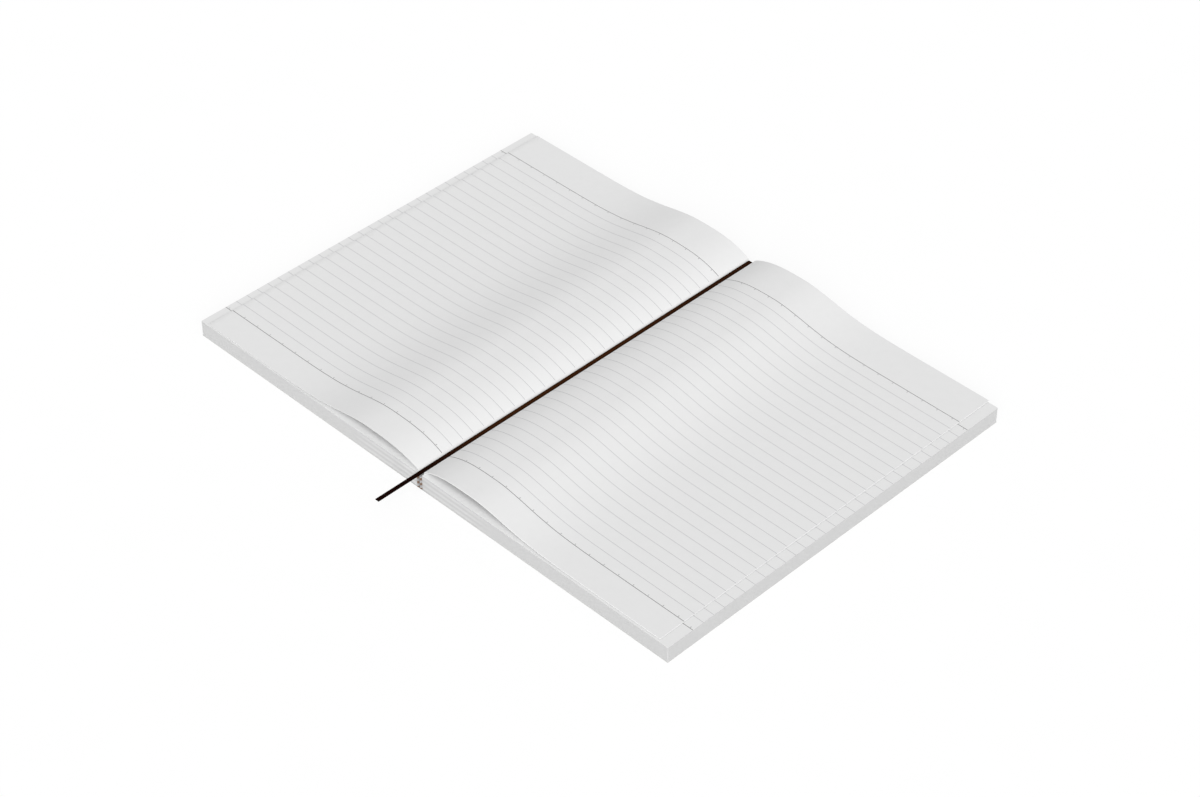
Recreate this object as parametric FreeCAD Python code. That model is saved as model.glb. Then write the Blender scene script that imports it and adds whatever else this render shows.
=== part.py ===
import FreeCAD, Part
import math
import os

# An open ruled notebook that lies flat, in millimetres.
# X runs across the spread, Y from the tail (-) to the head (+), and Z is up from the table.
# The right half is modelled, and the left half is its mirror image in the plane X = 0.

# Page stacks
PAGE_HEIGHT = 210.0
PAGE_WIDTH = 147.3
STACK_THICKNESS = 7.98
SECTION_COUNT = 3
SECTION_FOLD_DEPTH = 0.4

# Top leaves, which arch from the gutter down to the fore-edge
LEAF_THICKNESS = 0.25
LEAF_ROOT_LIFT = 1.35
LEAF_ROOT_REACH = 0.35
LEAF_FALL_REACH = 27.3
LEAF_HOVER = 0.45
RIGHT_LEAF_CREST = 7.13
RIGHT_LEAF_CREST_REACH = 31.0
RIGHT_LEAF_BOUND = 3.29
RIGHT_LEAF_SLIP = 1.0
LEFT_LEAF_CREST = 6.92
LEFT_LEAF_CREST_REACH = 32.6
LEFT_LEAF_BOUND = 2.37
LEFT_LEAF_SLIP = 0.25
LEAF_TRIM = 0.2
LEAF_RISE_STEPS = 9
LEAF_FALL_STEPS = 9

# Covers, endpapers and the cloth that joins the covers round the spine
COVER_THICKNESS = 0.3
ENDPAPER_THICKNESS = 0.15
CLOTH_THICKNESS = 0.3
CLOTH_FOOT_REACH = 5.6
CLOTH_DROP = 0.8
HINGE_GAP = 0.3

# Binding inside the spine
HALF_GAP = 0.1
LINING_THICKNESS = 0.15
LINING_MARGIN = 9.0
THREAD_DIAMETER = 0.25
STITCH_PITCH = 40.0
STITCH_COUNT = 5

# Head and tail bands
BAND_BEAD_DEPTH = 0.8
BAND_BEAD_WIDTH = 0.95
BAND_TAB_THICKNESS = 0.1
BAND_TAB_LENGTH = 9.0
BAND_FOOT_GAP = 0.5
TAIL_BAND_DROP = 0.35
HEAD_BAND_DROP = 1.4
BAND_STRIPE = 1.4
BAND_GROOVE = 0.08

# Ribbon marker
RIBBON_WIDTH = 2.16
RIBBON_THICKNESS = 0.22
RIBBON_LIFT = 0.7
RIBBON_OVERHANG = 24.6
RIBBON_TURN = 2.2
RIBBON_TAB = 2.7

# Clearances
SEAT_GAP = 0.02
RIBBON_GAP = 0.1

# Levels and faces that follow from the sizes above
COVER_TOP = COVER_THICKNESS
STACK_BOTTOM = COVER_THICKNESS + ENDPAPER_THICKNESS
STACK_TOP = STACK_BOTTOM + STACK_THICKNESS
CLOTH_FACE = HALF_GAP + CLOTH_THICKNESS
TAB_FACE = CLOTH_FACE + SEAT_GAP + BAND_TAB_THICKNESS
LINING_FACE = TAB_FACE + SEAT_GAP + LINING_THICKNESS
THREAD_FACE = LINING_FACE + SEAT_GAP + THREAD_DIAMETER
STACK_SPINE = THREAD_FACE + SEAT_GAP
FORE_EDGE = STACK_SPINE + PAGE_WIDTH
HALF_HEIGHT = PAGE_HEIGHT / 2
CLOTH_TOP = STACK_TOP - CLOTH_DROP
HINGE_X = HALF_GAP + CLOTH_FOOT_REACH + HINGE_GAP
LEAF_ROOT = RIBBON_WIDTH / 2 + RIBBON_GAP


def point(x, y, z):
    return FreeCAD.Vector(x, y, z)


def block(x0, x1, y0, y1, z0, z1):
    """A plain block between two corners."""
    return Part.makeBox(x1 - x0, y1 - y0, z1 - z0, point(x0, y0, z0))


def prism(edges, y0, y1):
    """A closed outline in the plane Y = y0, drawn out to y1."""
    face = Part.Face(Part.Wire(edges))
    return face.extrude(point(0, y1 - y0, 0))


def lines(points):
    """Straight edges through the points in turn."""
    return [Part.makeLine(a, b) for a, b in zip(points, points[1:])]


def mirrored(shape):
    """The left half's copy of a right half's piece."""
    return shape.mirror(point(0, 0, 0), point(1, 0, 0))


def pages():
    """One page stack: sewn sections with round folds at the spine."""
    y0 = -HALF_HEIGHT
    pitch = STACK_THICKNESS / SECTION_COUNT
    notch = STACK_SPINE + SECTION_FOLD_DEPTH
    folds = []
    for k in range(SECTION_COUNT):
        low = STACK_BOTTOM + k * pitch
        ends = [point(notch, y0, low), point(STACK_SPINE, y0, low + pitch / 2), point(notch, y0, low + pitch)]
        folds.append(Part.Arc(*ends).toShape())
    rim = lines([
        point(notch, y0, STACK_TOP),
        point(FORE_EDGE, y0, STACK_TOP),
        point(FORE_EDGE, y0, STACK_BOTTOM),
        point(notch, y0, STACK_BOTTOM),
    ])
    return prism(folds + rim, y0, HALF_HEIGHT)


def leaf_height(x, crest, reach):
    """How high the top face of a leaf is above its stack, at a distance from the gutter."""
    if x > reach:
        past = (x - reach) / LEAF_FALL_REACH
        return LEAF_HOVER + (crest - LEAF_HOVER) * math.exp(-past * past)
    root = LEAF_ROOT_LIFT * (1 - math.exp((LEAF_ROOT - x) / LEAF_ROOT_REACH))
    left = (reach - x) / (reach - LEAF_ROOT)
    return root + (crest - LEAF_ROOT_LIFT) * (1 - left ** 3)


def leaf_end(crest, reach, bound):
    """The leaf's reach: bent along its curve, it is as long as the page less the strip bound in the fold."""
    step = 0.01
    x = LEAF_ROOT
    z = 0.0
    length = 0.0
    while length < PAGE_WIDTH - bound:
        rise = leaf_height(x + step, crest, reach)
        length += math.hypot(step, rise - z)
        x += step
        z = rise
    return x


def leaf_stations(end, reach):
    """Distances from the gutter at which the leaf's curve is set out, closer together at its root."""
    rise = reach - LEAF_ROOT
    fall = end - reach
    up = [LEAF_ROOT + rise * (k / LEAF_RISE_STEPS) ** 3 for k in range(LEAF_RISE_STEPS)]
    down = [reach + fall * k / LEAF_FALL_STEPS for k in range(LEAF_FALL_STEPS + 1)]
    return up + down


def leaf(crest, reach, bound, slip):
    """A leaf that stands on its stack beside the gutter, arches over and comes down to the fore-edge."""
    y0 = -HALF_HEIGHT + LEAF_TRIM + slip
    over = []
    under = []
    step = 0.01
    for x in leaf_stations(leaf_end(crest, reach, bound), reach):
        z = leaf_height(x, crest, reach)
        slope = (leaf_height(x + step, crest, reach) - z) / step
        size = math.hypot(1, slope)
        over.append(point(x, y0, STACK_TOP + z))
        under.append(point(x + LEAF_THICKNESS * slope / size, y0, STACK_TOP + z - LEAF_THICKNESS / size))
    under[0] = point(LEAF_ROOT + LEAF_THICKNESS, y0, STACK_TOP)
    top = Part.BSplineCurve()
    top.interpolate(over)
    bottom = Part.BSplineCurve()
    bottom.interpolate(under[::-1])
    edges = [
        top.toShape(),
        Part.makeLine(over[-1], under[-1]),
        bottom.toShape(),
        Part.makeLine(under[0], over[0]),
    ]
    return prism(edges, y0, HALF_HEIGHT - LEAF_TRIM + slip)


def endpaper():
    """The outer leaf of the stack, glued to the first or last section."""
    notch = STACK_SPINE + SECTION_FOLD_DEPTH
    return block(notch, FORE_EDGE, -HALF_HEIGHT, HALF_HEIGHT, COVER_TOP, STACK_BOTTOM)


def cover():
    """A cover card, cut flush with the pages, hinged beside the cloth's foot."""
    return block(HINGE_X, FORE_EDGE, -HALF_HEIGHT, HALF_HEIGHT, 0, COVER_TOP)


def spine_cloth():
    """Half of the cloth round the spine: a web beside the gutter and a foot under the stack."""
    y0 = -HALF_HEIGHT
    corners = [
        point(HALF_GAP, y0, 0),
        point(HALF_GAP + CLOTH_FOOT_REACH, y0, 0),
        point(HALF_GAP + CLOTH_FOOT_REACH, y0, COVER_TOP),
        point(CLOTH_FACE, y0, COVER_TOP),
        point(CLOTH_FACE, y0, CLOTH_TOP),
        point(HALF_GAP, y0, CLOTH_TOP),
    ]
    return prism(lines(corners + corners[:1]), y0, HALF_HEIGHT)


def spine_fold():
    """The cloth's fold in the gutter, a round arch over the tops of both webs."""
    y0 = -HALF_HEIGHT
    low = CLOTH_TOP + SEAT_GAP
    inner = [point(-HALF_GAP, y0, low), point(0, y0, low + HALF_GAP), point(HALF_GAP, y0, low)]
    outer = [point(CLOTH_FACE, y0, low), point(0, y0, low + CLOTH_FACE), point(-CLOTH_FACE, y0, low)]
    edges = [
        Part.Arc(*inner).toShape(),
        Part.makeLine(inner[-1], outer[0]),
        Part.Arc(*outer).toShape(),
        Part.makeLine(outer[-1], inner[0]),
    ]
    return prism(edges, y0, HALF_HEIGHT)


def spine_lining():
    """The strip glued over the sewn folds."""
    reach = HALF_HEIGHT - LINING_MARGIN
    return block(LINING_FACE - LINING_THICKNESS, LINING_FACE, -reach, reach, STACK_BOTTOM, CLOTH_TOP)


def sewing_thread():
    """Stitches that cross the folds at each sewing station."""
    pitch = STACK_THICKNESS / SECTION_COUNT
    radius = THREAD_DIAMETER / 2
    foot = STACK_BOTTOM + pitch / 2
    run = STACK_THICKNESS - pitch
    first = -STITCH_PITCH * (STITCH_COUNT - 1) / 2
    stitches = []
    for k in range(STITCH_COUNT):
        base = point(THREAD_FACE - radius, first + k * STITCH_PITCH, foot)
        stitches.append(Part.makeCylinder(radius, run, base))
    return Part.makeCompound(stitches)


def bead(near, start, foot, top):
    """A column that stands on the stack's end, flat against it and round outside."""
    radius = BAND_BEAD_WIDTH / 2
    shoulder = start + BAND_BEAD_DEPTH - radius
    far = near + BAND_BEAD_WIDTH
    cap = Part.Arc(
        point(near, shoulder, foot), point(near + radius, shoulder + radius, foot), point(far, shoulder, foot)
    )
    walls = lines([
        point(far, shoulder, foot),
        point(far, start, foot),
        point(near, start, foot),
        point(near, shoulder, foot),
    ])
    return Part.Face(Part.Wire([cap.toShape()] + walls)).extrude(point(0, 0, top - foot))


def groove(near, start, level):
    """A thin ring cut round a bead between two stripes."""
    radius = BAND_BEAD_WIDTH / 2
    shoulder = start + BAND_BEAD_DEPTH - radius
    base = point(near + radius, shoulder, level - BAND_GROOVE / 2)
    outer = Part.makeCylinder(radius + BAND_GROOVE, BAND_GROOVE, base)
    inner = Part.makeCylinder(radius - BAND_GROOVE, BAND_GROOVE, base)
    front = block(near, near + BAND_BEAD_WIDTH, shoulder, shoulder + radius, 0, STACK_TOP)
    return outer.cut(inner).common(front)


def band(side, drop):
    """Half of a head band (side 1) or tail band (side -1): a striped bead on the stack's end, with a tab."""
    near = CLOTH_FACE + SEAT_GAP
    start = HALF_HEIGHT + SEAT_GAP
    foot = STACK_BOTTOM + BAND_FOOT_GAP
    top = STACK_TOP - drop
    tab = block(near, TAB_FACE, HALF_HEIGHT - BAND_TAB_LENGTH, start, foot, top)
    made = tab.fuse(bead(near, start, foot, top))
    for k in range(1, int((top - foot) / BAND_STRIPE) + 1):
        level = foot + k * BAND_STRIPE
        if top - level > BAND_GROOVE:
            made = made.cut(groove(near, start, level))
    made = made.removeSplitter()
    return made if side > 0 else made.mirror(point(0, 0, 0), point(0, 1, 0))


def ribbon():
    """The ribbon marker: straight along the gutter, and turned down over the head band."""
    level = STACK_TOP + RIBBON_LIFT
    head = HALF_HEIGHT + SEAT_GAP + BAND_BEAD_DEPTH + RIBBON_GAP + RIBBON_THICKNESS / 2
    bend = head - RIBBON_TURN
    tail = -HALF_HEIGHT - RIBBON_OVERHANG
    x = -RIBBON_WIDTH / 2
    half = RIBBON_THICKNESS / 2
    centre = point(x, bend, level - RIBBON_TURN)
    foot = level - RIBBON_TURN - RIBBON_TAB

    def turn(radius):
        mid = radius * math.sqrt(0.5)
        return Part.Arc(
            centre + point(0, 0, radius), centre + point(0, mid, mid), centre + point(0, radius, 0)
        ).toShape()

    edges = [
        Part.makeLine(point(x, tail, level + half), point(x, bend, level + half)),
        turn(RIBBON_TURN + half),
        Part.makeLine(point(x, head + half, level - RIBBON_TURN), point(x, head + half, foot)),
        Part.makeLine(point(x, head + half, foot), point(x, head - half, foot)),
        Part.makeLine(point(x, head - half, foot), point(x, head - half, level - RIBBON_TURN)),
        turn(RIBBON_TURN - half),
        Part.makeLine(point(x, bend, level - half), point(x, tail, level - half)),
        Part.makeLine(point(x, tail, level - half), point(x, tail, level + half)),
    ]
    face = Part.Face(Part.Wire(Part.__sortEdges__(edges)))
    length = bend - tail + RIBBON_TURN * math.pi / 2 + RIBBON_TAB
    print("ribbon: length %.2f, bend radius %.2f" % (length, RIBBON_TURN))
    print("ribbon route: Y %.3f to %.3f, Z %.3f down to %.3f" % (tail, head, level, foot))
    return face.extrude(point(RIBBON_WIDTH, 0, 0))


def pieces():
    """Every sub-part by name."""
    tail_band = band(-1, TAIL_BAND_DROP)
    head_band = band(1, HEAD_BAND_DROP)
    return {
        "right_pages": pages(),
        "left_pages": mirrored(pages()),
        "right_leaf": leaf(RIGHT_LEAF_CREST, RIGHT_LEAF_CREST_REACH, RIGHT_LEAF_BOUND, RIGHT_LEAF_SLIP),
        "left_leaf": mirrored(leaf(LEFT_LEAF_CREST, LEFT_LEAF_CREST_REACH, LEFT_LEAF_BOUND, LEFT_LEAF_SLIP)),
        "back_endpaper": endpaper(),
        "front_endpaper": mirrored(endpaper()),
        "back_cover": cover(),
        "front_cover": mirrored(cover()),
        "right_spine_cloth": spine_cloth(),
        "left_spine_cloth": mirrored(spine_cloth()),
        "spine_fold_cloth": spine_fold(),
        "right_spine_lining": spine_lining(),
        "left_spine_lining": mirrored(spine_lining()),
        "right_sewing_thread": sewing_thread(),
        "left_sewing_thread": mirrored(sewing_thread()),
        "right_tail_band": tail_band,
        "left_tail_band": mirrored(tail_band),
        "right_head_band": head_band,
        "left_head_band": mirrored(head_band),
        "ribbon_marker": ribbon(),
    }


os.makedirs("parts", exist_ok=True)
for name, shape in pieces().items():
    if not shape.isValid() or any(solid.Volume <= 0 for solid in shape.Solids):
        raise ValueError(name + " is not a sound solid")
    shape.exportStep("parts/" + name + ".step")
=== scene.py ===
import math
import random

import bmesh
import bpy
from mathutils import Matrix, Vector


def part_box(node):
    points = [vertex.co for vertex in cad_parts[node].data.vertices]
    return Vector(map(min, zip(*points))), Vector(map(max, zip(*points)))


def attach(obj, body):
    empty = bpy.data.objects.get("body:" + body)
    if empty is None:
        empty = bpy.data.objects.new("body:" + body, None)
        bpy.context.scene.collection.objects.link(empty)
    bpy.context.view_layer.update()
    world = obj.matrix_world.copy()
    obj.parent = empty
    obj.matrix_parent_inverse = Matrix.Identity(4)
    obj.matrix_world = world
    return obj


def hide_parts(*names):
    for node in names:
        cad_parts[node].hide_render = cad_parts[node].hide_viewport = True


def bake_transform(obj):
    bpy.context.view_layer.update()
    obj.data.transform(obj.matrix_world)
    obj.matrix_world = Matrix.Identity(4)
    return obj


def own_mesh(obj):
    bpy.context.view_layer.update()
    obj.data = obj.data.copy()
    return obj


# An open ruled notebook that lies flat, in metres.
# X runs across the spread, Y from the tail (-) to the head (+), and Z is up from the table.

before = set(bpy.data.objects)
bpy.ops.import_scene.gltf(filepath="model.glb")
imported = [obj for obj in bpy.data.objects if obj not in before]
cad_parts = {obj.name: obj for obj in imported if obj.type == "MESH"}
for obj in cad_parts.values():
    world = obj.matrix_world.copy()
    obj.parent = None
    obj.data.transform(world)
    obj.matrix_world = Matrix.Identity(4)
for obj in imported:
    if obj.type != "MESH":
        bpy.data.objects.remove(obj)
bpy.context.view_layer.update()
random.seed(7)

MM = 0.001

# Camera: direction as azimuth and elevation, distance from the point at the picture's centre
CAMERA_AZIMUTH = math.radians(44.963)
CAMERA_ELEVATION = math.radians(40.471)
CAMERA_DISTANCE = 1303.6 * MM
CAMERA_AIM = Vector((12.4, -7.69, 0)) * MM
CAMERA_LENS = 87.36
CAMERA_NEAR = 0.05
CAMERA_FAR = 60.0

# Light: a level sky, and a broad soft lamp on the near right
SKY_STRENGTH = 0.6
LAMP_AZIMUTH = math.radians(45)
LAMP_ELEVATION = math.radians(33.5)
LAMP_STRENGTH = 2.23
LAMP_SPREAD = math.radians(50)
FLOOR_GLOW = 0.8
FLOOR_GLOW_STRENGTH = 1.04
FLOOR_HALF_SIZE = 6.0
FLOOR_DROP = 0.05 * MM

# Top leaves, with the same curve as the solids that they stand for
LEAF_THICKNESS = 0.25 * MM
LEAF_ROOT_LIFT = 1.35 * MM
LEAF_ROOT_REACH = 0.35 * MM
LEAF_FALL_REACH = 27.3 * MM
LEAF_HOVER = 0.45 * MM
LEAF_RISE_STEPS = 44
LEAF_FALL_STEPS = 52
LEAF_BOW = 0.09
LEAF_CUT_UNDER = 0.02 * MM
LEAF_TOE = 0.6
LEAF_SLOPE_STEP = 0.005 * MM

# Ruling, measured from the tail edge
RULE_FIRST = 14.55 * MM
RULE_LAST = 188.95 * MM
RULE_GAPS = 28
RULE_WIDTH = 0.25 * MM
RULE_EDGE_WIDTH = 0.3 * MM
RULE_PROUD = 0.012 * MM
RULE_SUNK = 0.02 * MM
RULE_START = 2.0 * MM
RULE_FORE_GAP = 0.02 * MM
TICK_COUNT = 16
TICK_WIDTH = 0.3 * MM
RIM_TICK = 146.5 * MM
TICK_NEAR = 0.3 * MM
TICK_FAR = 1.05 * MM

# Page stacks: trimmed sheets in sewn sections
SHEETS = 57
SECTIONS = 3
SHEET_GROOVE = 0.03 * MM
SHEET_SCATTER = 0.012 * MM
SECTION_GROOVE = 0.35 * MM
SECTION_SWELL = 0.04 * MM
SECTION_FADE_START = 30 * MM
SECTION_FADE_END = 46 * MM
# Painted light and shade on the page edges near the gutter: each section lighter at its middle and
# darker at its folds
SECTION_CONTRAST = 9
SECTION_LIGHTER = 2
# Painted light on the left half's tail edges by the spine, against the shadow of the ribbon's tail
SHADED_START = 2 * MM
SHADED_END = 15 * MM
RIBBON_SHADOW_PAINTED_LIGHT = 18
CORNER_CUT = 0.3 * MM
SHEET_FOOT = 0.28
SHEET_HEAD = 0.72
# Painted light and shade on each stack's top page under its leaf: painted light by the tail and head,
# painted shade further in, full near the gutter and gone toward the fore-edge
COVERED_START = 1.2 * MM
COVERED_DEPTH = 6.5 * MM
COVERED_FULL = 55 * MM
COVERED_NONE = 85 * MM

# Head and tail bands: thread wound round a core in stripes
BAND_BEAD_WIDTH = 0.95 * MM
BAND_BEAD_DEPTH = 0.8 * MM
BAND_THREADS = 4
BAND_STRIPE = 1.4 * MM
BAND_STRIPE_START = 0.38 * MM
BAND_THREAD_SWELL = 0.05 * MM
BAND_TAB_THICKNESS = 0.1 * MM
BAND_TAB_LENGTH = 9.0 * MM
BAND_GAP = 0.02 * MM
BAND_SHOULDER = 0.1 * MM
BAND_ARC_STEPS = 12

# Section of a wound thread: part of its pitch, and how deep its surface lies there
THREAD_SECTION = [(0.0, 1.0), (0.2, 0.35), (0.5, 0.0), (0.8, 0.35), (1.0, 1.0)]

# Ribbon marker: its route, from the tucked end over the head band and along the gutter
RIBBON_WIDTH = 2.16 * MM
RIBBON_THICKNESS = 0.22 * MM
RIBBON_SELVAGE = 0.3 * MM
RIBBON_THINNING = 0.72
RIBBON_THIN_FROM = 1.6 * RIBBON_SELVAGE
# Painted shade toward the ribbon's ends: full at its tail end, and partly dark toward its head end
RIBBON_DARK_TAIL = -114 * MM
RIBBON_TAIL_FADE = -50 * MM
RIBBON_HEAD_FADE = 20 * MM
RIBBON_DARK_HEAD = 80 * MM
RIBBON_PATH = [
    (0, 0.10624, 0.00423),
    (0, 0.10624, 0.00913),
    (0, 0.10113, 0.00913),
    (0, -0.1296, 0.00913),
]

# Cloth fold between the halves, and the creases at the edges of the covers
FOLD_INNER = 0.1 * MM
FOLD_OUTER = 0.4 * MM
FOLD_STEPS = 12
CREASE_FOOT = 5.7 * MM
CREASE_COVER = 6.0 * MM
CREASE_LOW = 0.04 * MM
CREASE_HIGH = 0.26 * MM
CREASE_STEPS = 6

stack_low, stack_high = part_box("right_pages")
STACK_TOP = stack_high.z
STACK_BOTTOM = stack_low.z
STACK_SPINE = stack_low.x
FORE_EDGE = stack_high.x
HALF_HEIGHT = stack_high.y
LEAF_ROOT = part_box("right_leaf")[0].x


class Side:
    """What differs between the halves, in metres from the gutter and from the middle of the pages."""

    def __init__(self, sign, crest, reach, end, tail, head, cut, rules, ticks):
        self.sign = sign
        self.crest = crest * MM
        self.reach = reach * MM
        self.end = end
        self.tail = tail * MM
        self.head = head * MM
        self.cut = cut * MM
        self.rules = [d * MM for d in rules]
        self.ticks = [d * MM for d in ticks]


# ticks: the first one's distance from the fore-edge, their pitch, and how much it shrinks inward
SIDES = {
    "right": Side(
        1, crest=7.13, reach=31.0, end=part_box("right_leaf")[1].x, tail=-103.88, head=105.85, cut=0.16,
        rules=(15.32, 190.22), ticks=(3.77, 8.63, 0.0113),
    ),
    "left": Side(
        -1, crest=6.92, reach=32.6, end=-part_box("left_leaf")[0].x, tail=-104.32, head=104.98, cut=0.03,
        rules=(14.88, 189.78), ticks=(8.08, 8.95, 0.0169),
    ),
}


def srgb(level):
    """A channel as it is seen, from 0 to 255, as the linear value that the shaders take."""
    c = level / 255
    return c / 12.92 if c <= 0.04045 else ((c + 0.055) / 1.055) ** 2.4


def colour(r, g, b):
    return (srgb(r), srgb(g), srgb(b), 1)


def grey(level, tint=0):
    return colour(level, level, level - tint)


def new_object(name, verts, faces, materials, face_materials=None, smooth_angle=None):
    """A mesh object in the row frame, with its faces turned outward."""
    mesh = bpy.data.meshes.new(name)
    mesh.from_pydata(verts, [], faces)
    for material in materials:
        mesh.materials.append(material)
    if face_materials:
        mesh.polygons.foreach_set("material_index", face_materials)
    shape = bmesh.new()
    shape.from_mesh(mesh)
    bmesh.ops.recalc_face_normals(shape, faces=shape.faces)
    shape.to_mesh(mesh)
    shape.free()
    mesh.polygons.foreach_set("use_smooth", [smooth_angle is not None] * len(mesh.polygons))
    if smooth_angle is not None:
        mesh.set_sharp_from_angle(angle=math.radians(smooth_angle))
    mesh.update()
    obj = bpy.data.objects.new(name, mesh)
    bpy.context.scene.collection.objects.link(obj)
    return obj


class Shape:
    """Gathers closed shells into one mesh."""

    def __init__(self):
        self.verts = []
        self.faces = []
        self.kinds = []

    def tube(self, rings, kinds=None):
        """Joins rings of points by a skin with two caps. kinds gives each side of a ring a material."""
        base = len(self.verts)
        size = len(rings[0])
        for ring in rings:
            self.verts.extend(ring)
        kinds = kinds or [0] * size
        last = base + (len(rings) - 1) * size
        for here in range(base, last, size):
            for j in range(size):
                k = (j + 1) % size
                self.faces.append((here + j, here + k, here + size + k, here + size + j))
                self.kinds.append(kinds[j])
        for start in (base, last):
            self.faces.append(tuple(start + j for j in range(size)))
            self.kinds.append(kinds[-1])

    def block(self, x0, x1, y0, y1, z0, z1):
        ring = [(y0, z0), (y1, z0), (y1, z1), (y0, z1)]
        self.tube([[(x, y, z) for y, z in ring] for x in (x0, x1)])

    def build(self, name, materials, smooth_angle=None):
        return new_object(name, self.verts, self.faces, materials, self.kinds, smooth_angle)


class Nodes:
    """A material's node tree, with short ways to add and join nodes."""

    def __init__(self, name, roughness=0.6, specular=0.25):
        self.material = bpy.data.materials.new(name)
        self.material.use_nodes = True
        self.tree = self.material.node_tree
        self.shader = self.tree.nodes["Principled BSDF"]
        self.shader.inputs["Roughness"].default_value = roughness
        self.shader.inputs["Specular IOR Level"].default_value = specular
        self.place = self.add("ShaderNodeTexCoord").outputs["Object"]

    def add(self, kind, **settings):
        node = self.tree.nodes.new(kind)
        for key, value in settings.items():
            setattr(node, key, value)
        return node

    def feed(self, socket, value):
        if isinstance(value, bpy.types.NodeSocket):
            self.tree.links.new(value, socket)
        else:
            socket.default_value = value

    def scaled(self, x, y, z):
        """The object's coordinates times a scale on each axis."""
        node = self.add("ShaderNodeMapping")
        self.feed(node.inputs["Vector"], self.place)
        node.inputs["Scale"].default_value = (x, y, z)
        return node.outputs["Vector"]

    def axes(self):
        node = self.add("ShaderNodeSeparateXYZ")
        self.feed(node.inputs[0], self.place)
        return node.outputs

    def noise(self, vector, scale, detail=3.0):
        node = self.add("ShaderNodeTexNoise")
        self.feed(node.inputs["Vector"], vector)
        node.inputs["Scale"].default_value = scale
        node.inputs["Detail"].default_value = detail
        return node.outputs["Fac"]

    def wave(self, vector, scale, direction):
        node = self.add("ShaderNodeTexWave", bands_direction=direction)
        self.feed(node.inputs["Vector"], vector)
        node.inputs["Scale"].default_value = scale
        return node.outputs["Fac"]

    def math(self, operation, a, b=0.0, clamp=False):
        node = self.add("ShaderNodeMath", operation=operation, use_clamp=clamp)
        self.feed(node.inputs[0], a)
        self.feed(node.inputs[1], b)
        return node.outputs[0]

    def span(self, value, low, high, out_low=0.0, out_high=1.0):
        """value from low to high, as a smooth step from out_low to out_high."""
        node = self.add("ShaderNodeMapRange", interpolation_type="SMOOTHSTEP")
        for socket, given in zip(node.inputs, (value, low, high, out_low, out_high)):
            self.feed(socket, given)
        return node.outputs["Result"]

    def ramp(self, factor, stops):
        node = self.add("ShaderNodeValToRGB")
        self.feed(node.inputs["Fac"], factor)
        first, last = node.color_ramp.elements
        first.position, first.color = stops[0]
        last.position, last.color = stops[-1]
        for position, shade in stops[1:-1]:
            node.color_ramp.elements.new(position).color = shade
        return node.outputs["Color"]

    def blended(self, factor, first, second):
        node = self.add("ShaderNodeMix", data_type="RGBA")
        self.feed(node.inputs["Factor"], factor)
        self.feed(node.inputs["A"], first)
        self.feed(node.inputs["B"], second)
        return node.outputs["Result"]

    def finish(self, base, height=None, strength=0.1, distance=0.02 * MM):
        """Joins the colour and the relief to the shader."""
        self.feed(self.shader.inputs["Base Color"], base)
        if height is not None:
            bump = self.add("ShaderNodeBump")
            bump.inputs["Strength"].default_value = strength
            bump.inputs["Distance"].default_value = distance
            self.feed(bump.inputs["Height"], height)
            self.feed(self.shader.inputs["Normal"], bump.outputs["Normal"])
        return self.material


def paper_material(name, level, tint=0, roughness=0.62, spread=1.2):
    """Smooth uncoated paper: cloudy formation and fine fibres."""
    n = Nodes(name, roughness)
    cloud = n.noise(n.place, 260, 3)
    fibre = n.noise(n.scaled(1, 2.2, 1), 2600, 2)
    mixed = n.math("ADD", n.math("MULTIPLY", cloud, 0.6), n.math("MULTIPLY", fibre, 0.4))
    shade = n.ramp(mixed, [(0.3, grey(level - spread, tint)), (0.7, grey(level + spread, tint))])
    return n.finish(shade, fibre, 0.12, 0.01 * MM)


def under_leaf_material(name, level, rim, painted_shade_level):
    """The top page of a stack, with painted light and shade: whiter under the leaf near the tail and
    head than at the fore-edge, painted light against the leaf's shadow, and darker further in, painted
    shade.
    """
    n = Nodes(name, 0.62)
    x, y, z = n.axes()
    fibre = n.noise(n.scaled(1, 2.2, 1), 2600, 2)
    deepest = HALF_HEIGHT - COVERED_DEPTH
    # Painted light near the tail and head edges, turning to painted shade further in, under the leaf's
    # arch only
    inward = n.span(n.math("ABSOLUTE", y), deepest, HALF_HEIGHT - COVERED_START, 1, 0)
    covered = n.span(n.math("ABSOLUTE", x), COVERED_FULL, COVERED_NONE, 1, 0)
    shade = n.blended(covered, grey(level), n.blended(inward, grey(rim), grey(painted_shade_level)))
    return n.finish(shade, fibre, 0.12, 0.01 * MM)


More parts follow.
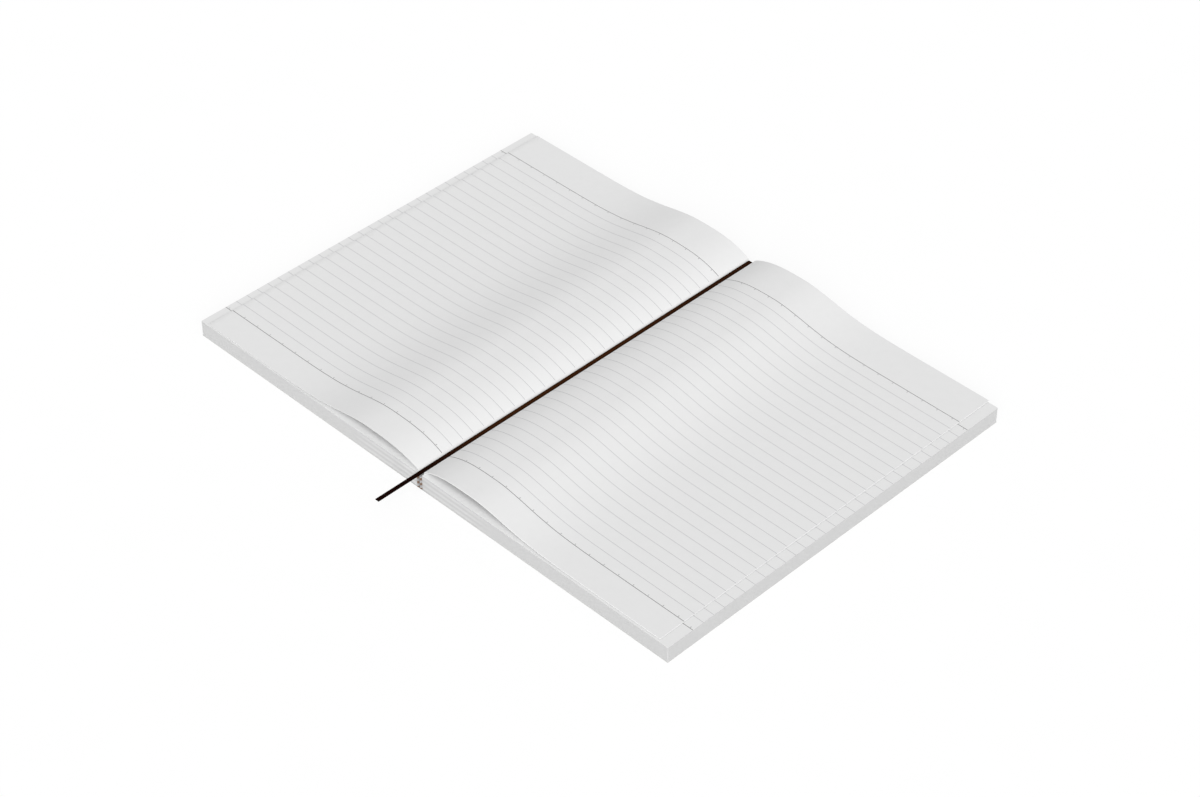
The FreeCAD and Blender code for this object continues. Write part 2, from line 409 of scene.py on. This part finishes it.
def page_edge_material(name, level):
    """Trimmed edges of the pages, a darker copy of the page paper: painted shade on the sides of the
    stacks. Near the gutter each section is lighter at its middle and darker at its folds, painted light
    and shade, and the left half's tail edges are lighter by the spine, painted light against the
    ribbon's shadow.
    """
    n = Nodes(name, 0.75, 0.15)
    x, y, z = n.axes()
    pitch = (STACK_TOP - STACK_BOTTOM) / SECTIONS
    within = n.math("FRACT", n.math("DIVIDE", n.math("SUBTRACT", z, STACK_BOTTOM), pitch))

    def bands(middle):
        """Painted light and shade on the sections about a middle level: lightest at each section's
        middle, darkest at its folds.
        """
        fold = grey(middle - SECTION_CONTRAST)
        return n.ramp(within, [(0, fold), (0.5, grey(middle + SECTION_CONTRAST)), (1, fold)])

    # Painted light against the ribbon's shadow, on the left half's tail edges by the spine
    left_tail = n.math("MULTIPLY", n.math("LESS_THAN", x, 0.0), n.math("LESS_THAN", y, 0.0))
    shaded = n.math("MULTIPLY", left_tail, n.span(x, -SHADED_END, -SHADED_START))
    painted_bands = n.blended(shaded, bands(level + SECTION_LIGHTER), bands(level + RIBBON_SHADOW_PAINTED_LIGHT))
    sheets = n.noise(n.scaled(0.06, 0.06, 3.2), 2600, 2)
    grain = n.noise(n.scaled(1, 1, 2.0), 900, 3)
    mixed = n.math("ADD", n.math("MULTIPLY", sheets, 0.6), n.math("MULTIPLY", grain, 0.4))
    plain = n.ramp(mixed, [(0.3, grey(level - 1.5)), (0.7, grey(level + 1.5))])
    # The painted section bands show near the gutter and fade out away from it
    near = n.span(n.math("ABSOLUTE", x), SECTION_FADE_START, SECTION_FADE_END, 0.9, 0)
    return n.finish(n.blended(near, plain, painted_bands), sheets, 0.05, 0.01 * MM)


def ink_material(name, level, tint=0):
    n = Nodes(name, 0.7, 0.15)
    speck = n.noise(n.place, 3000, 2)
    return n.finish(n.ramp(speck, [(0.3, colour(level - 3, level - 3, level - 3 + tint)),
                                   (0.7, colour(level + 3, level + 3, level + 3 + tint))]))


def card_material(name, level, tint=0):
    """Uncoated card: soft clouds, and sparse short fibres."""
    n = Nodes(name, 0.7, 0.2)
    cloud = n.noise(n.place, 120, 4)
    fibre = n.noise(n.scaled(1, 3.5, 1), 1500, 3)
    mixed = n.math("ADD", n.math("MULTIPLY", cloud, 0.45), n.math("MULTIPLY", fibre, 0.55))
    shade = n.ramp(mixed, [(0.3, grey(level - 5, tint)), (0.7, grey(level + 4, tint))])
    return n.finish(shade, fibre, 0.25)


def cloth_material(name, level, tint=0, threads=2.6):
    """Plain-woven cloth, with threads per millimetre."""
    n = Nodes(name, 0.85, 0.1)
    turns = threads / MM / math.tau * 2
    along = n.wave(n.place, turns, "Y")
    across = n.math("MAXIMUM", n.wave(n.place, turns, "X"), n.wave(n.place, turns, "Z"))
    weave = n.math("MULTIPLY", along, across)
    wear = n.noise(n.place, 500, 3)
    mixed = n.math("ADD", n.math("MULTIPLY", weave, 0.6), n.math("MULTIPLY", wear, 0.4))
    shade = n.ramp(mixed, [(0.15, colour(level - 14, level - 13, level - 10 - tint)),
                           (0.75, colour(level + 8, level + 9, level + 12 - tint))])
    return n.finish(shade, weave, 0.4)


def thread_material(name, r, g, b):
    """Twisted thread."""
    n = Nodes(name, 0.6, 0.3)
    twist = n.wave(n.scaled(1, 1, 0.6), 900, "DIAGONAL")
    shade = n.ramp(twist, [(0.1, colour(r - 16, g - 16, b - 16)), (0.9, colour(r + 8, g + 8, b + 8))])
    return n.finish(shade, twist, 0.4)


def ribbon_material():
    """Woven satin ribbon: fine ribs, darker selvages, long soft streaks, and painted shade toward its
    ends.
    """
    n = Nodes("ribbon", 0.8, 0.03)
    x, y, z = n.axes()
    ribs = n.wave(n.place, 2.2 / MM / math.tau * 2, "Y")
    streak = n.noise(n.scaled(9, 0.12, 9), 420, 3)
    edge = n.span(n.math("ABSOLUTE", x), 0.35 * RIBBON_WIDTH, 0.47 * RIBBON_WIDTH)
    mixed = n.math("ADD", n.math("MULTIPLY", ribs, 0.35), n.math("MULTIPLY", streak, 0.65))
    middle = n.ramp(mixed, [(0.25, colour(44, 19, 4)), (0.75, colour(60, 31, 10))])
    woven = n.blended(edge, middle, colour(34, 13, 2))
    # Painted shade toward the tail end, and partly toward the head end
    at_tail = n.span(y, RIBBON_DARK_TAIL, RIBBON_TAIL_FADE, 1, 0)
    at_head = n.span(y, RIBBON_HEAD_FADE, RIBBON_DARK_HEAD, 0, 0.4)
    return n.finish(n.blended(n.math("MAXIMUM", at_tail, at_head), woven, colour(20, 3, 0)), ribs, 0.35)


leaf_paper = paper_material("page_paper", 228)
# Level 228 at the fore-edge, painted light of 243 by the tail and head under the leaf, painted shade of
# 202 further in
stack_paper = under_leaf_material("page_paper_under_painted_light_and_shade", 228, 243, 202)
# The leaf's cut edges, a level lighter than its faces: a painted highlight along them
cut_paper_highlight = paper_material("leaf_edge_highlight", 229)
# Page edges at 198 against the page paper's 228: painted shade on the sides of the stacks
edge_paper = page_edge_material("page_edges_painted_light_and_shade", 198)
light_ink = ink_material("ruling_light", 188, 2)
dark_ink = ink_material("ruling_dark", 130)
tick_ink = ink_material("ruling_ticks", 160, 1)
endpaper = paper_material("endpaper", 201, 1)
cover_card = card_material("cover_card", 200, 2)
spine_cloth = cloth_material("spine_cloth", 168)
lining_cloth = cloth_material("lining_cloth", 214, 6, 1.2)
band_cloth = cloth_material("band_cloth", 205, 6)
white_thread = thread_material("sewing_thread", 226, 224, 218)
pale_thread = thread_material("band_thread_pale", 174, 173, 174)
brown_thread = thread_material("band_thread_brown", 126, 103, 86)

# The solids' materials, by a word in the node's name, the first that fits
NODE_MATERIALS = [
    ("endpaper", endpaper), ("cover", cover_card), ("lining", lining_cloth), ("thread", white_thread),
    ("band", band_cloth), ("cloth", spine_cloth),
]


def direction_of(azimuth, elevation):
    """The unit vector from the notebook toward a place in the sky, with azimuth 0 at the tail."""
    return Vector((
        math.sin(azimuth) * math.cos(elevation),
        -math.cos(azimuth) * math.cos(elevation),
        math.sin(elevation),
    ))


def face_from(obj, direction):
    """Turns a camera or a lamp to look back along a direction."""
    obj.rotation_mode = "QUATERNION"
    obj.rotation_quaternion = (-direction).to_track_quat("-Z", "Y")


# Camera
direction = direction_of(CAMERA_AZIMUTH, CAMERA_ELEVATION)
camera = bpy.data.objects.new("camera", bpy.data.cameras.new("camera"))
camera.data.lens = CAMERA_LENS
camera.data.clip_start = CAMERA_NEAR
camera.data.clip_end = CAMERA_FAR
camera.location = CAMERA_AIM + direction * CAMERA_DISTANCE
face_from(camera, direction)
bpy.context.scene.collection.objects.link(camera)
bpy.context.scene.camera = camera


def spline_points(points):
    """Points along the smooth line that has these as its control points."""
    curve = bpy.data.curves.new("route", "CURVE")
    curve.dimensions = "3D"
    line = curve.splines.new("NURBS")
    line.points.add(len(points) - 1)
    for place, at in zip(line.points, points):
        place.co = (*at, 1)
    line.order_u = 3
    line.use_endpoint_u = True
    line.resolution_u = 48
    holder = bpy.data.objects.new("route", curve)
    mesh = bpy.data.meshes.new_from_object(holder)
    found = [v.co.copy() for v in mesh.vertices]
    bpy.data.objects.remove(holder)
    return found


def ribbon_marker():
    """A flat woven strip, a little thicker along its selvages."""
    path = spline_points(RIBBON_PATH)
    half = RIBBON_WIDTH / 2
    thick = RIBBON_THICKNESS / 2
    thin = thick * RIBBON_THINNING
    under = [
        (-half, -thick), (-half + RIBBON_SELVAGE, -thick), (-half + RIBBON_THIN_FROM, -thin),
        (half - RIBBON_THIN_FROM, -thin), (half - RIBBON_SELVAGE, -thick), (half, -thick),
    ]
    section = under + [(u, -v) for u, v in under[::-1]]
    rings = []
    for i, at in enumerate(path):
        run = (path[min(i + 1, len(path) - 1)] - path[max(i - 1, 0)]).normalized()
        up = Vector((1, 0, 0)).cross(run)
        rings.append([at + Vector((u, 0, 0)) + up * v for u, v in section])
    shape = Shape()
    shape.tube(rings)
    obj = shape.build("ribbon_marker_cloth", [ribbon_material()], smooth_angle=40)
    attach(obj, "right_half")
    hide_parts("ribbon_marker")


def leaf_height(x, half):
    """How high the top face of a leaf is above its stack, at a distance from the gutter."""
    if x > half.reach:
        past = (x - half.reach) / LEAF_FALL_REACH
        return LEAF_HOVER + (half.crest - LEAF_HOVER) * math.exp(-past * past)
    root = LEAF_ROOT_LIFT * (1 - math.exp((LEAF_ROOT - x) / LEAF_ROOT_REACH))
    left = (half.reach - x) / (half.reach - LEAF_ROOT)
    return root + (half.crest - LEAF_ROOT_LIFT) * (1 - left ** 3)


def leaf_line(half):
    """Points (x, z) and slopes along a leaf's top face, close together at its root."""
    rise = half.reach - LEAF_ROOT
    fall = half.end - half.reach
    places = [LEAF_ROOT + rise * (k / LEAF_RISE_STEPS) ** 2.4 for k in range(LEAF_RISE_STEPS)]
    places += [half.reach + fall * (k / LEAF_FALL_STEPS) ** 1.2 for k in range(LEAF_FALL_STEPS + 1)]
    line = []
    for x in places:
        z = leaf_height(x, half)
        slope = (leaf_height(x + LEAF_SLOPE_STEP, half) - z) / LEAF_SLOPE_STEP
        line.append((x, z, slope))
    return line


def height_on(line, x):
    """The height above the stack of the leaf's drawn line."""
    for (x0, z0, _), (x1, z1, _) in zip(line, line[1:]):
        if x <= x1:
            return z0 + (z1 - z0) * (x - x0) / (x1 - x0)
    return line[-1][1]


def tick_places(line, first, pitch, taper):
    """Places of the ticks along the leaf's curve, from its fore-edge inward."""
    found = []
    run = 0
    for (x0, z0, _), (x1, z1, _) in zip(line[::-1], line[-2::-1]):
        length = math.hypot(x0 - x1, z0 - z1)
        while len(found) < TICK_COUNT:
            k = len(found)
            target = first + pitch * k - taper * k * k
            if target > run + length:
                break
            found.append(x0 + (x1 - x0) * (target - run) / length)
        run += length
    return found


def leaf(side):
    """The uppermost leaf, cut clean at its edges."""
    half = SIDES[side]
    line = leaf_line(half)

    def ring(x, z, slope, cut, under, inset):
        """The leaf's section, with corners cut above and under, and all of it drawn in by inset."""
        size = math.hypot(1, slope)
        tail = half.tail - LEAF_BOW * (z - LEAF_HOVER) + inset
        far = half.head - inset
        top = inset
        bottom = LEAF_THICKNESS - inset * 0.3

        def at(y, depth):
            return (half.sign * (x + depth * slope / size), y, STACK_TOP + z - depth / size)

        return [
            at(tail + cut, top), at(far - cut, top), at(far, top + cut),
            at(far, bottom - under), at(far - under, bottom),
            at(tail + under, bottom), at(tail, bottom - under), at(tail, top + cut),
        ]

    rings = [ring(x, z, slope, half.cut, LEAF_CUT_UNDER, 0) for x, z, slope in line[:-1]]
    x, z, slope = line[-1]
    rings.append(ring(x - half.cut, z, slope, half.cut, LEAF_CUT_UNDER, 0))
    rings.append(ring(x, z, slope, LEAF_CUT_UNDER, LEAF_CUT_UNDER, half.cut - LEAF_CUT_UNDER))
    for j in (2, 3, 4, 5, 6, 7):
        foot = LEAF_THICKNESS * (LEAF_TOE if j in (2, 7) else 1)
        rings[0][j] = (half.sign * (LEAF_ROOT + foot), rings[0][j][1], STACK_TOP)
    shape = Shape()
    shape.tube(rings, [0, 1, 1, 1, 0, 1, 1, 1])
    obj = shape.build(side + "_leaf_paper", [leaf_paper, cut_paper_highlight], smooth_angle=25)
    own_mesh(obj)
    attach(obj, side + "_half")
    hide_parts(side + "_leaf")
    return line


def rule_places(first, last):
    return [-HALF_HEIGHT + first + (last - first) * k / RULE_GAPS for k in range(RULE_GAPS + 1)]


def tick_spans(first, last):
    """Where the ticks start and end along Y, at the first and the last line."""
    return [
        sorted(-HALF_HEIGHT + base + way * reach for reach in (TICK_NEAR, TICK_FAR))
        for base, way in ((first, 1), (last, -1))
    ]


def ruling(side, line):
    """Printed lines and margin ticks on a leaf and on the rim of the stack under it, as thin strips."""
    half = SIDES[side]
    sign = half.sign
    on_leaf = {"light": Shape(), "dark": Shape(), "ticks": Shape()}
    on_stack = {"light": Shape(), "dark": Shape(), "ticks": Shape()}

    def strip(shape, y, width):
        rings = []
        for x, z, slope in line:
            if x < RULE_START:
                continue
            size = math.hypot(1, slope)
            x = min(x, half.end - half.cut)
            upper = (sign * (x - RULE_PROUD * slope / size), STACK_TOP + z + RULE_PROUD / size)
            lower = (sign * (x + RULE_SUNK * slope / size), STACK_TOP + z - RULE_SUNK / size)
            rings.append([
                (upper[0], y - width / 2, upper[1]), (upper[0], y + width / 2, upper[1]),
                (lower[0], y + width / 2, lower[1]), (lower[0], y - width / 2, lower[1]),
            ])
        shape.tube(rings)

    def rim(shape, y, width):
        low = STACK_TOP - RULE_SUNK
        high = STACK_TOP + RULE_PROUD
        x0, x1 = sorted((sign * RULE_START, sign * (FORE_EDGE - RULE_FORE_GAP)))
        shape.block(x0, x1, y - width / 2, y + width / 2, low, high)

    for draw, shapes, span in ((strip, on_leaf, half.rules), (rim, on_stack, (RULE_FIRST, RULE_LAST))):
        for k, y in enumerate(rule_places(*span)):
            if k in (0, RULE_GAPS):
                draw(shapes["dark"], y, RULE_EDGE_WIDTH)
            else:
                draw(shapes["light"], y, RULE_WIDTH)

    for y0, y1 in tick_spans(*half.rules):
        for place in tick_places(line, *half.ticks):
            rings = []
            for x in (place - TICK_WIDTH / 2, place + TICK_WIDTH / 2):
                z = STACK_TOP + height_on(line, x)
                rings.append([(sign * x, y0, z + RULE_PROUD), (sign * x, y1, z + RULE_PROUD),
                              (sign * x, y1, z - RULE_SUNK), (sign * x, y0, z - RULE_SUNK)])
            on_leaf["ticks"].tube(rings)
    for y0, y1 in tick_spans(RULE_FIRST, RULE_LAST):
        x0, x1 = sorted((sign * (RIM_TICK - TICK_WIDTH / 2), sign * (RIM_TICK + TICK_WIDTH / 2)))
        on_stack["ticks"].block(x0, x1, y0, y1, STACK_TOP - RULE_SUNK, STACK_TOP + RULE_PROUD)

    for kind, ink in (("light", light_ink), ("dark", dark_ink), ("ticks", tick_ink)):
        leaf_lines = on_leaf[kind].build(side + "_leaf_ruling_" + kind, [ink])
        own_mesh(leaf_lines)
        for obj in (leaf_lines, on_stack[kind].build(side + "_page_ruling_" + kind, [ink])):
            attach(obj, side + "_half")


def stack(side):
    """One half's pages: a trimmed block that shows its sheets and its sections' folds."""
    sign = SIDES[side].sign
    cut = CORNER_CUT
    near = [STACK_SPINE + d * MM for d in (0, 0.5, 1.5, 3, 6, 10, 16, 22, 28, 34, 40, 46)]
    far = [80 * MM, 115 * MM]
    rim = [(x, -HALF_HEIGHT, 0, -1) for x in near + far]
    rim += [(FORE_EDGE - cut, -HALF_HEIGHT, 0, -1), (FORE_EDGE, -HALF_HEIGHT + cut, 1, 0)]
    rim += [(FORE_EDGE, y * MM, 1, 0) for y in (-60, -20, 20, 60)]
    rim += [(FORE_EDGE, HALF_HEIGHT - cut, 1, 0), (FORE_EDGE - cut, HALF_HEIGHT, 0, 1)]
    rim += [(x, HALF_HEIGHT, 0, 1) for x in (near + far)[::-1]]
    thickness = (STACK_TOP - STACK_BOTTOM) / SHEETS
    section = (STACK_TOP - STACK_BOTTOM) / SECTIONS
    rings = []
    for k in range(SHEETS):
        slip = random.uniform(0, SHEET_SCATTER)
        groove = SHEET_GROOVE * random.uniform(0.5, 1.3)
        for part, depth in ((0.0, groove), (SHEET_FOOT, slip), (SHEET_HEAD, slip)):
            rings.append((STACK_BOTTOM + (k + part) * thickness, depth))
    rings.append((STACK_TOP, SHEET_GROOVE))

    def placed(z, depth):
        """The rim at a height, drawn in by depth and bent to the fold and the swell of its section."""
        u = ((z - STACK_BOTTOM) / section) % 1 * 2 - 1
        fold = SECTION_GROOVE * (1 - math.sqrt(max(0.0, 1 - u * u)))
        ring = []
        for x, y, nx, ny in rim:
            fade = min(max((SECTION_FADE_END - x) / (SECTION_FADE_END - SECTION_FADE_START), 0), 1)
            inset = depth + (SECTION_SWELL * u * u * fade if ny else 0)
            across = x - nx * depth
            if x < near[1]:
                across += fold
            ring.append((sign * across, y - ny * inset, z))
        return ring

    shape = Shape()
    shape.tube([placed(z, depth) for z, depth in rings])
    shape.kinds[-1] = 1
    obj = shape.build(side + "_page_sheets", [edge_paper, stack_paper])
    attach(obj, side + "_half")
    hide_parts(side + "_pages")


def band(side, end):
    """Half of a head or tail band: thread wound in stripes round a core, and its glued tab."""
    sign = SIDES[side].sign
    low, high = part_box(side + "_" + end + "_band")
    way = 1 if end == "head" else -1
    near = min(abs(low.x), abs(high.x))
    radius = BAND_BEAD_WIDTH / 2
    thick = BAND_STRIPE / BAND_THREADS
    start = HALF_HEIGHT + BAND_GAP
    shoulder = start + BAND_BEAD_DEPTH - radius
    count = int((high.z - low.z) / thick)
    step = (high.z - low.z) / count
    threads = Shape()

    def outline(grow):
        """The wound thread's way round the core, flat against the pages."""
        far = near + BAND_BEAD_WIDTH
        points = [(near, start), (near, shoulder - BAND_SHOULDER)]
        for k in range(BAND_ARC_STEPS + 1):
            a = math.pi * k / BAND_ARC_STEPS
            reach = radius + grow
            points.append((near + radius - reach * math.cos(a), shoulder + reach * math.sin(a)))
        return points + [(far, shoulder - BAND_SHOULDER), (far, start)]

    inner = outline(-BAND_THREAD_SWELL)
    outer = outline(0)
    for k in range(count):
        z = low.z + k * step
        stripe = int((z + step / 2 - BAND_STRIPE_START) % (2 * BAND_STRIPE) < BAND_STRIPE)
        rings = []
        for part, depth in THREAD_SECTION:
            ring = []
            for (xi, yi), (xo, yo) in zip(inner, outer):
                x = xo + (xi - xo) * depth
                y = yo + (yi - yo) * depth
                ring.append((sign * x, way * y, z + part * step))
            rings.append(ring)
        threads.tube(rings, [stripe] * len(inner))
    obj = threads.build(side + "_" + end + "_band_thread", [pale_thread, brown_thread], smooth_angle=60)
    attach(obj, side + "_half")
    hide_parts(side + "_" + end + "_band")

    tab = Shape()
    x0, x1 = sorted((sign * near, sign * (near + BAND_TAB_THICKNESS)))
    y0, y1 = sorted((way * (HALF_HEIGHT - BAND_TAB_LENGTH), way * start))
    tab.block(x0, x1, y0, y1, low.z, high.z)
    obj = tab.build(side + "_" + end + "_band_tab", [band_cloth])
    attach(obj, side + "_half")


def spine_fold():
    """The cloth's fold between the halves, a round arch."""
    low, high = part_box("spine_fold_cloth")
    angles = [math.pi * k / FOLD_STEPS for k in range(FOLD_STEPS + 1)]
    arch = [
        (radius * math.cos(a), low.z + radius * math.sin(a))
        for radius, turns in ((FOLD_OUTER, angles), (FOLD_INNER, angles[::-1])) for a in turns
    ]
    shape = Shape()
    shape.tube([[(x, y, z) for x, z in arch] for y in (low.y, high.y)])
    obj = shape.build("spine_fold_strip", [spine_cloth], smooth_angle=50)
    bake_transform(obj)
    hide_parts("spine_fold_cloth")


def crease(name, sign):
    """The thin scored strip by which a cover hangs on the cloth's foot."""
    low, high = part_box("back_cover")
    rings = []
    for k in range(CREASE_STEPS + 1):
        x = sign * (CREASE_FOOT + (CREASE_COVER - CREASE_FOOT) * k / CREASE_STEPS)
        rings.append([(x, low.y, CREASE_LOW), (x, high.y, CREASE_LOW), (x, high.y, CREASE_HIGH),
                      (x, low.y, CREASE_HIGH)])
    shape = Shape()
    shape.tube(rings)
    obj = shape.build(name, [spine_cloth], smooth_angle=50)
    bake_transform(obj)


ribbon_marker()
for side in SIDES:
    ruling(side, leaf(side))
    stack(side)
    for end in ("tail", "head"):
        band(side, end)
spine_fold()
crease("front_cover_crease", -1)
crease("back_cover_crease", 1)

for node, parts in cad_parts.items():
    found = [material for word, material in NODE_MATERIALS if word in node]
    for place in parts.material_slots:
        place.material = found[0] if found else leaf_paper

# Floor, white to the eye and still darker in the shadow
floor_nodes = Nodes("floor", 0.9, 0.0)
floor_cloud = floor_nodes.noise(floor_nodes.place, 40)
floor_nodes.finish(floor_nodes.ramp(floor_cloud, [(0.3, grey(236)), (0.7, grey(238))]))
rays = floor_nodes.add("ShaderNodeLightPath")
seen = floor_nodes.math("MAXIMUM", rays.outputs["Is Camera Ray"], rays.outputs["Is Glossy Ray"])
seen = floor_nodes.math("MAXIMUM", seen, rays.outputs["Is Transmission Ray"])
glow = floor_nodes.add("ShaderNodeEmission")
glow.inputs["Color"].default_value = (1, 1, 1, 1)
glow.inputs["Strength"].default_value = FLOOR_GLOW_STRENGTH
mix = floor_nodes.add("ShaderNodeMixShader")
floor_nodes.feed(mix.inputs["Fac"], floor_nodes.math("MULTIPLY", seen, FLOOR_GLOW))
floor_nodes.feed(mix.inputs[1], floor_nodes.shader.outputs["BSDF"])
floor_nodes.feed(mix.inputs[2], glow.outputs[0])
output = floor_nodes.tree.nodes["Material Output"]
floor_nodes.feed(output.inputs["Surface"], mix.outputs[0])
reach = FLOOR_HALF_SIZE
corners = [(-reach, -reach, 0), (reach, -reach, 0), (reach, reach, 0), (-reach, reach, 0)]
floor = new_object("floor", corners, [(0, 1, 2, 3)], [floor_nodes.material])
floor.location.z = -FLOOR_DROP

# Light
world = bpy.data.worlds.new("sky")
bpy.context.scene.world = world
world.use_nodes = True
tree = world.node_tree
sky = tree.nodes["Background"]
sky.inputs["Color"].default_value = (1, 1, 1, 1)
paths = tree.nodes.new("ShaderNodeLightPath")
eye = tree.nodes.new("ShaderNodeMath")
eye.operation = "MAXIMUM"
tree.links.new(paths.outputs["Is Camera Ray"], eye.inputs[0])
tree.links.new(paths.outputs["Is Transmission Ray"], eye.inputs[1])
level = tree.nodes.new("ShaderNodeMapRange")
tree.links.new(eye.outputs[0], level.inputs["Value"])
level.inputs["To Min"].default_value = SKY_STRENGTH
level.inputs["To Max"].default_value = 1.0
tree.links.new(level.outputs["Result"], sky.inputs["Strength"])

lamp = bpy.data.objects.new("lamp", bpy.data.lights.new("lamp", "SUN"))
lamp.data.energy = LAMP_STRENGTH
lamp.data.angle = LAMP_SPREAD
face_from(lamp, direction_of(LAMP_AZIMUTH, LAMP_ELEVATION))
bpy.context.scene.collection.objects.link(lamp)

bpy.context.scene.view_settings.view_transform = "Standard"
